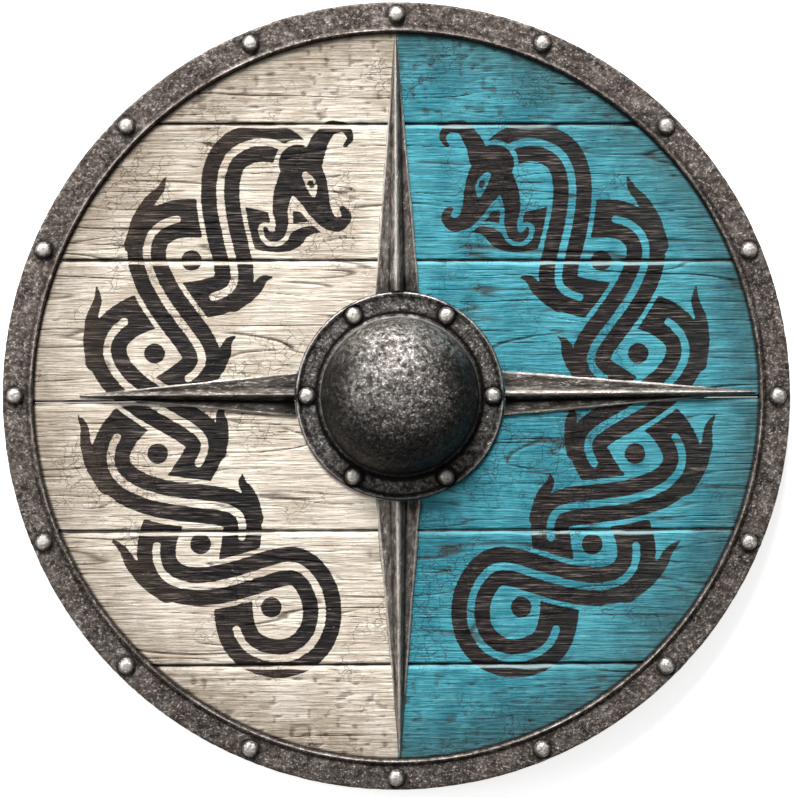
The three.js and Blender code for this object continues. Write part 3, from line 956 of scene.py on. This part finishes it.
rivets = {}
for kind, count, back, first_seed in (("rim", 16, RIM_BACK, 800), ("boss", 6, PLANK_BACK, 1000)):
    for number in range(1, count + 1):
        name = f"{kind}_rivet_{number:02d}"
        rivets[name] = make_rivet(name, back, first_seed + number * 7)
print(len(rivets), "rivets with", len(rivets["rim_rivet_01"].data.polygons), "faces each")

# %% [markdown]
# ## Screws
#
# The battens, the grip bar and the arms are screwed on from behind, with flat slotted heads set just below
# the wood. Each screw is spun as long as its place needs, then slotted. Its thread is hidden in the wood, so
# the shank stays plain.

# %% Turn and slot the screws
screw_names = [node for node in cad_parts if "_screw_" in node]
SCREW_HEAD = 4
SLOT_WIDTH = 0.9


def screw_outline(low, high):
    neck = low + 2.9
    head = [(0, low + 0.5), (2, low + 0.5), (3.7, low + 0.55), (SCREW_HEAD, low + 0.8), (2.1, neck - 0.3)]
    shank = [(1.7, neck + 0.2), (1.7, high - 1.2), (0, high)]
    return np.array([*head, *shank]) * MM


def make_screw(name, angle):
    low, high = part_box(name)
    x, y = centre_of(name)
    foot = round(low.z / MM - 0.5)
    screw = spun(f"slotted_{name}", screw_outline(foot, high.z / MM), steps=28, centre=(x, y))
    bpy.ops.mesh.primitive_cube_add(size=1, location=(x, y, (foot + 0.5) * MM), rotation=(0, 0, angle))
    blade = bpy.context.object
    blade.scale = (12 * MM, SLOT_WIDTH * MM, 2 * MM)
    apply_modifier(screw, "BOOLEAN", operation="DIFFERENCE", object=blade, solver="EXACT")
    bpy.data.objects.remove(blade)
    note(screw, "wear_and_highlight", 0.2 * near(places(screw)[:, 2], (foot + 0.5) * MM, 0.3 * MM))
    note(screw, "grime_and_shade", near(places(screw)[:, 2], (foot + 1.2) * MM, 0.4 * MM))
    return screw


slot_angles = np.random.default_rng(5).uniform(0, math.pi, len(screw_names))
screws = {name: make_screw(name, angle) for name, angle in zip(screw_names, slot_angles)}
print(len(screws), "screws")

# %% [markdown]
# ## The grip bar and the battens
#
# Behind, everything is plainer: ash bars shaved with a drawknife, their arrises taken off, and the handle
# worked round where the fist closes on it. Each bar is a grid wrapped round a section that changes along
# its length. The grain runs along the bar.

# %% Wrap a grid into a bar
BACK_BEVEL = 5 * MM


def bar(name, centre_x, length, half, top, roundness, seed, rings=230, sides=84):
    """half, top and roundness give the section at each height y: half its width, its front, and its shape."""
    piece = grid(name, sides, rings)
    shares = places(piece)
    y = shares[:, 1] * length / 2
    angle = shares[:, 0] * math.pi
    power = 2 / roundness(y)
    end = np.clip((np.abs(y) - length / 2 + BACK_BEVEL) / BACK_BEVEL, 0, 1) * BACK_BEVEL
    width, height = half(y), (top(y) - end) / 2
    across, up = np.cos(angle), np.sin(angle)
    x = centre_x + width * np.sign(across) * np.abs(across) ** power
    z = end + height + height * np.sign(up) * np.abs(up) ** power
    put_places(piece, np.column_stack([x, y, z]))
    edit(piece)
    bpy.ops.mesh.remove_doubles(threshold=0.01 * MM)
    bpy.ops.mesh.select_all(action="SELECT")
    bpy.ops.mesh.fill_holes(sides=0)
    close_edit()
    points = places(piece)
    lines = ridges(lumps(points, (3.4 * MM, 60 * MM, 3.4 * MM), seed), 3)
    shaved = 0.5 + 0.5 * lumps(points, (14 * MM, 40 * MM, 8 * MM), seed + 1)
    depth = (0.3 * lines + 0.35 * shaved) * MM * rise(points[:, 2], 12.2 * MM, 11 * MM)
    put_places(piece, points - normals(piece) * depth[:, None])
    note(piece, "furrow", lines)
    return piece


def changing(stations, sizes):
    """A size that changes evenly between stations, in millimetres from the middle of a bar."""
    return lambda y: np.interp(np.abs(y), np.array(stations) * MM, sizes)


grip_low, grip_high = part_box("grip_bar")
GRIP_LENGTH = grip_high.y - grip_low.y
grip_half = changing([0, 58, 70, 270], [14 * MM, 14 * MM, 21 * MM, 13 * MM])
grip_top = changing([0, 43, 51], [grip_high.z, grip_high.z, PLANK_BACK])
grip_roundness = changing([0, 58, 70, 270], [2.3, 2.6, 8, 8])
grip_x = centre_of("grip_bar")[0]
grip = bar("shaved_grip_bar", grip_x, GRIP_LENGTH, grip_half, grip_top, grip_roundness, 900, rings=300)

battens = []
for name, seed in (("batten_left", 910), ("batten_right", 920)):
    low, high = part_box(name)
    half, top, roundness = (changing([0], [size]) for size in ((high.x - low.x) / 2, PLANK_BACK, 11))
    battens.append(bar(f"shaved_{name}", centre_of(name)[0], high.y - low.y, half, top, roundness, seed))
print("grip bar", round(GRIP_LENGTH / MM), "mm, battens", round((high.y - low.y) / MM), "mm")

# %% [markdown]
# Each screw head sits in a cone-shaped countersink. The cones are joined into one cutter, so each bar is cut
# in one step.

# %% Sink the screw heads
def countersinks(names, level):
    cones = []
    for name in names:
        place = (*centre_of(name), level + 1.2 * MM)
        bpy.ops.mesh.primitive_cone_add(
            vertices=28, radius1=5.4 * MM, radius2=2 * MM, depth=4.4 * MM, location=place
        )
        cones.append(bpy.context.object)
    bpy.ops.object.select_all(action="DESELECT")
    for cone in cones:
        cone.select_set(True)
    bpy.context.view_layer.objects.active = cones[0]
    bpy.ops.object.join()
    return cones[0]


through_bars = [name for name in screw_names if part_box(name)[0].z < PLANK_BACK / 2]
into_planks = [name for name in screw_names if name not in through_bars]
for level, names, sunk in ((0, through_bars, (grip, *battens)), (PLANK_BACK, into_planks, planks[2:3])):
    cutter = countersinks(names, level)
    for piece in sunk:
        apply_modifier(piece, "BOOLEAN", operation="DIFFERENCE", object=cutter, solver="MANIFOLD")
    bpy.data.objects.remove(cutter)
print(len(through_bars), "countersinks in the bars,", len(into_planks), "in the planks")

# %% [markdown]
# ## The paint
#
# The planks were painted cream on the left and teal on the right, with the serpents in black over both. The
# paint lies thin: the grain shows through it as dark lines, it has crazed into small plates, and it has
# worn off the bevels, which also carry a painted highlight. Grime has gathered toward the rim, and painted
# shade lies in the furrows, toward the rim and along the iron. Each of those is a mask from 0 to 1.
#
# Everything is read from the place on the plank or from a stored number, so the finish stays put when the
# shield moves.

# %% Find the parts of the planks and the sizes of their marks
paint = Finish("painted planks")
across = paint.add("ShaderNodeSeparateXYZ", {"Vector": paint.place}, output="X")
height = paint.add("ShaderNodeSeparateXYZ", {"Vector": paint.place}, output="Z")
flat = paint.add("ShaderNodeVectorMath", {0: paint.place, 1: (1, 1, 0)}, {"operation": "MULTIPLY"})
from_middle = paint.add("ShaderNodeVectorMath", {0: flat}, {"operation": "LENGTH"}, output="Value")

fine_grain = paint.noise(1, detail=4, stretch=(30, 520, 30)).between(0.38, 0.62)
hair_grain = paint.noise(1, detail=3, stretch=(60, 1500, 60)).between(0.5, 0.66)
blotch = paint.noise(22, detail=5, roughness=0.65).between(0.36, 0.64)
patch = paint.noise(90, detail=5, roughness=0.65)
speck = paint.noise(520, detail=3).between(0.6, 0.72)
crazed = paint.plates(120, 0.012).between(0.06, 0.01) * paint.noise(20, detail=3).between(0.5, 0.62)
right = (across + (patch - 0.5) * 0.002).between(0.4 * MM, 1.6 * MM)
print("the masks take", len(paint.tree.nodes), "nodes")

# %% [markdown]
# Both grounds are two shades of one paint in soft blotches. Fine hairs of grain show pale where the brush
# skipped, and broader ones dark where the wood shows through.

# %% Mix the two grounds
cream = paint.mix(blotch, colour(240, 230, 215), colour(212, 199, 181))
teal = paint.mix(blotch, colour(80, 170, 185), colour(46, 128, 145))
skipped = paint.mix(right, colour(252, 246, 236), colour(130, 212, 224))
worn_wood = paint.mix(right, colour(142, 122, 98), colour(34, 96, 108))
ground = paint.mix(right, cream, teal)
ground = paint.mix(hair_grain * 0.4, ground, skipped)
ground = paint.mix(fine_grain * -0.42 + 0.42, ground, worn_wood)
print("with both grounds", len(paint.tree.nodes), "nodes")

# %% [markdown]
# The black goes on last. Its edge strays a little with the grain, and it has come off the bevels and where
# something scraped along the planks. On the bevels the paler bare band is partly a painted highlight.

# %% Lay the black over them
figure = paint.stored("outside_figure")
bevel = paint.stored("bevel")
black = paint.mix(blotch, colour(20, 17, 17), colour(36, 32, 31))
black = paint.mix(hair_grain * fine_grain * 0.95, black, colour(124, 112, 104))
stray = figure + (patch - 0.5) * 1.4 + (fine_grain - 0.5) * 0.4
scraped = paint.noise(1, detail=4, roughness=0.7, stretch=(90, 500, 90)).between(0.67, 0.74)
drawn = stray.between(0.25, -0.25) * (1 - bevel.between(0.1, 0.35) * 0.94) * (1 - scraped * 0.7)
painted = paint.mix(drawn, ground, black)
print("with the black", len(paint.tree.nodes), "nodes")

# %% [markdown]
# Age comes over all of it: bevels rubbed pale, partly a painted highlight; furrows and crazing darkened by
# dirt and painted shade; grime toward the rim, with painted shade; dark lines in the seams; and a painted
# shadow along the iron. Inside and behind, the planks were never painted.

# %% Age the planks
# The bevels' pale band: rubbed paint, and partly a painted highlight.
rubbed_and_highlit = paint.mix(right, colour(250, 242, 228), colour(132, 204, 214))
rubbed_and_highlit = paint.mix(figure.between(0.5, -0.5) * 0.75, rubbed_and_highlit, colour(190, 174, 164))
painted = paint.mix(bevel.between(0.08, 0.4) * 0.6, painted, rubbed_and_highlit)
# Furrows, crazing and specks go dark: dirt, and a painted shade in the furrows and cracks.
dirt_and_shade = paint.mix(drawn, colour(62, 50, 41), colour(12, 10, 10))
marks = paint.stored("furrow").between(0.25, 0.95) * 0.72 + crazed * 0.45 + speck * 0.15
painted = paint.mix(marks, painted, dirt_and_shade)

# Darker towards the rim: grime, and painted shade.
grime_and_shade = from_middle.between(200 * MM, 285 * MM) * (patch * 1.6 - 0.2).clipped() * 0.6
grime_and_shade = grime_and_shade + from_middle.between(236 * MM, 284 * MM) * (0.25 + right * 0.2)
soiled_and_shaded = paint.mix(right, colour(104, 86, 68), colour(52, 68, 66))
painted = paint.mix(grime_and_shade * 0.85, painted, soiled_and_shaded)
# A painted shadow: a dark line on the planks along the iron's inner edge.
by_iron = from_middle.between(RIM_INNER - 2.8 * MM, RIM_INNER - 0.4 * MM)
in_seam = paint.stored("groove").between(0.25, 0.9)
painted = paint.mix(by_iron * 0.9 + in_seam * 0.95, painted, colour(26, 21, 18))

inside = height.between(PLANK_FRONT - 3.2 * MM, PLANK_FRONT - 4 * MM)
streaks = paint.noise(1, detail=4, stretch=(16, 320, 60)).between(0.3, 0.7)
bare = paint.mix(streaks, colour(124, 96, 68), colour(168, 138, 104))
paint.set(Base_Color=paint.mix(inside, painted, bare), Roughness=0.58 + blotch * 0.2, Specular_IOR_Level=0.2)
skin = (crazed * 0.9 + speck * 0.5 - patch * 0.6) * (1 - inside)
weave = fine_grain * 0.7 + hair_grain * 0.3 - skin
paint.set(Normal=paint.bump(weave, 0.45 * MM))
print("the whole paint", len(paint.tree.nodes), "nodes")

# %% [markdown]
# ## The iron
#
# Old forged iron isn't one grey. Bright metal shows where it is rubbed, black scale clings beside it, and a
# brown bloom lies in the pits. Noise at three sizes mixes them; its finest light specks are partly painted
# glints. The stored wear, with a painted highlight, brightens the edges, and the stored grime, with painted
# shade, darkens creases and the sides away from the light.

# %% Finish the iron
def iron(name, dark, middle, light, shine, patchy=0.5, stretch=(1, 1, 1)):
    """patchy is how much of the mottle is in clouds of 15 mm rather than in specks."""
    metal = Finish(name)
    wear_and_highlight = metal.stored("wear_and_highlight")
    grime_and_shade = metal.stored("grime_and_shade")
    clouds = metal.noise(70, detail=5, roughness=0.68, stretch=stretch)
    mottle = metal.noise(260, detail=5, roughness=0.68, stretch=stretch)
    specks = metal.noise(560, detail=3, roughness=0.6, stretch=stretch).between(0.52, 0.66)
    scratch = metal.noise(1, detail=3, stretch=(900, 110, 110)).between(0.66, 0.74)
    share = clouds * patchy + mottle * (1.15 - patchy)
    body = metal.mix(share.between(0.4, 0.74), dark, middle)
    # The light specks are partly painted glints on the bumps.
    bright = share.between(0.58, 0.84) * 0.5 + specks * mottle.between(0.35, 0.6) * 0.6 + scratch * 0.3
    body = metal.mix(bright, body, light)
    # Wear, and on the boss a painted highlight at the dome's foot.
    body = metal.mix(wear_and_highlight.between(0.2, 0.9) * mottle.between(0.2, 0.5) * 0.9, body, light)
    rust = metal.noise(45, detail=5, roughness=0.7).between(0.54, 0.7) * patchy * 0.6
    body = metal.mix(rust, body, colour(96, 74, 58))
    # Grime and painted shade, from the stored numbers.
    body = metal.mix(grime_and_shade * 0.75, body, colour(16, 13, 12))
    metal.set(Base_Color=body, Metallic=0.8, Roughness=shine + mottle.between(0.65, 0.35) * 0.25)
    metal.set(Normal=metal.bump(mottle + clouds * 0.6 - specks * 0.3, 0.8 * MM))
    return metal.material


SOOT = colour(56, 50, 46)
rim_finish = iron("forged rim", colour(48, 41, 38), colour(120, 110, 103), colour(204, 195, 187), 0.42)
boss_finish = iron(
    "forged boss", colour(46, 41, 38), colour(142, 136, 131), colour(240, 236, 230), 0.27, patchy=0.2
)
# The side arms get a darker copy of the iron than the upright arms: painted shade.
level_finish = iron(
    "forged side arm", SOOT, colour(118, 111, 104), colour(198, 191, 183), 0.45, 0.4, stretch=(0.3, 1, 1)
)
upright_finish = iron(
    "forged upright arm", SOOT, colour(150, 141, 133), colour(206, 198, 189), 0.37, 0.4, stretch=(1, 0.3, 1)
)
worn_finish = iron("worn iron", colour(60, 55, 51), colour(128, 122, 116), colour(222, 216, 208), 0.28)
print("each iron takes", len(rim_finish.node_tree.nodes), "nodes")

# %% [markdown]
# ## The bare wood behind
#
# The bars were oiled and never painted. Ash is pale brown with long dark streaks.

# %% Finish the bare wood
def oiled_ash():
    wood = Finish("oiled ash")
    furrow = wood.stored("furrow")
    streaks = wood.noise(1, detail=5, stretch=(420, 14, 420)).between(0.3, 0.7)
    fibres = wood.noise(1, detail=3, stretch=(1900, 40, 1900)).between(0.35, 0.7)
    stain = wood.noise(18, detail=4).between(0.35, 0.7)
    body = wood.mix(streaks, colour(104, 76, 52), colour(156, 122, 86))
    body = wood.mix(fibres * 0.4, body, colour(82, 58, 40))
    body = wood.mix(stain * 0.35 + furrow * 0.3, body, colour(70, 50, 36))
    wood.set(Base_Color=body, Roughness=0.55 + stain * 0.2, Normal=wood.bump(fibres + streaks, 0.2 * MM))
    return wood.material


wood_finish = oiled_ash()
print("the oiled ash takes", len(wood_finish.node_tree.nodes), "nodes")

# %% [markdown]
# ## Put the dressed pieces in their places
#
# Each dressed piece gets its finish, takes the place of its plain node, and rides with the shield.

# %% Hand over each piece
def dress(piece, finish, node, sharp=40):
    piece.data.materials.clear()
    piece.data.materials.append(finish)
    choose(piece)
    bpy.ops.object.shade_smooth_by_angle(angle=math.radians(sharp))
    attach(piece, "root")
    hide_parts(node)


for number, plank in enumerate(planks, start=1):
    dress(plank, paint.material, f"plank_{number}")
dress(rim, rim_finish, "rim")
dress(boss, boss_finish, "boss")
for name, arm in arms.items():
    finish = level_finish if name in LEVEL_ARMS else upright_finish
    dress(arm, finish, name, sharp=30)
for name, fastener in (rivets | screws).items():
    dress(fastener, worn_finish, name, sharp=45)
for name, piece in zip(("grip_bar", "batten_left", "batten_right"), (grip, *battens)):
    dress(piece, wood_finish, name)

pieces = [*planks, rim, boss, *arms.values(), *rivets.values(), *screws.values(), grip, *battens]
triangles = {piece.name: sum(len(face.vertices) - 2 for face in piece.data.polygons) for piece in pieces}
print(len(pieces), "pieces,", sum(triangles.values()), "triangles, at most", max(triangles.values()))

# %% [markdown]
# ## The studio
#
# The shield lies on a plain white table. One large soft light stands beyond its top edge, so the dome is
# bright above and dark below, and each furrow and bevel shows. A weak, even light fills the rest.

# %% Set up the table, lights and camera
def floor_finish():
    white = Finish("white table")
    white.set(Base_Color=(0.9, 0.9, 0.9, 1), Roughness=0.9)
    white.set(Emission_Color=(1, 1, 1, 1), Emission_Strength=0.75)
    white.material.cycles.emission_sampling = "NONE"
    return white.material


bpy.ops.object.select_all(action="DESELECT")
bpy.ops.mesh.primitive_plane_add(size=40)
table = bpy.context.object
table.name = "table"
table.data.materials.append(floor_finish())


def soft_light(name, place, size, power):
    """A square light that faces the middle of the table."""
    bpy.ops.object.light_add(type="AREA", location=place)
    lamp = bpy.context.object
    lamp.name = name
    lamp.data.size = size
    lamp.data.energy = power
    lamp.rotation_euler = (-Vector(place)).to_track_quat("-Z", "Y").to_euler()
    return lamp


key = soft_light("key light", (-1.35, 6.9, 4.5), 3.0, 1290)
side = soft_light("side light", (-2.6, 0.5, 1.6), 1.6, 34)
top = soft_light("overhead light", (-0.3, 0.4, 3.2), 2.2, 10)

world = bpy.data.worlds.new("studio")
bpy.context.scene.world = world
world.use_nodes = True
world.node_tree.nodes["Background"].inputs["Color"].default_value = (1, 1, 1, 1)
world.node_tree.nodes["Background"].inputs["Strength"].default_value = 0.1

VIEW_WIDTH = 614.556 * MM
LENS = 120
SENSOR = 36
distance = VIEW_WIDTH * LENS / SENSOR
bpy.ops.object.camera_add(location=(0.5 * MM, -2 * MM, PLANK_FRONT + distance), rotation=(0, 0, 0))
camera = bpy.context.object
camera.data.sensor_fit = "HORIZONTAL"
camera.data.sensor_width = SENSOR
camera.data.lens = LENS
camera.data.clip_end = 50
bpy.context.scene.camera = camera
bpy.context.scene.view_settings.view_transform = "Standard"
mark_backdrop(table, key, side, top, camera)
print("camera", round(distance, 3), "m above the shield")

# %% [markdown]
# ## The dressed size
#
# The dressed shield must stay within the plain one's box, so its box is printed.

# %% Print the dressed size
low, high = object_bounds()
print("dressed", [[round(value / MM, 2) for value in corner] for corner in (low, high)])
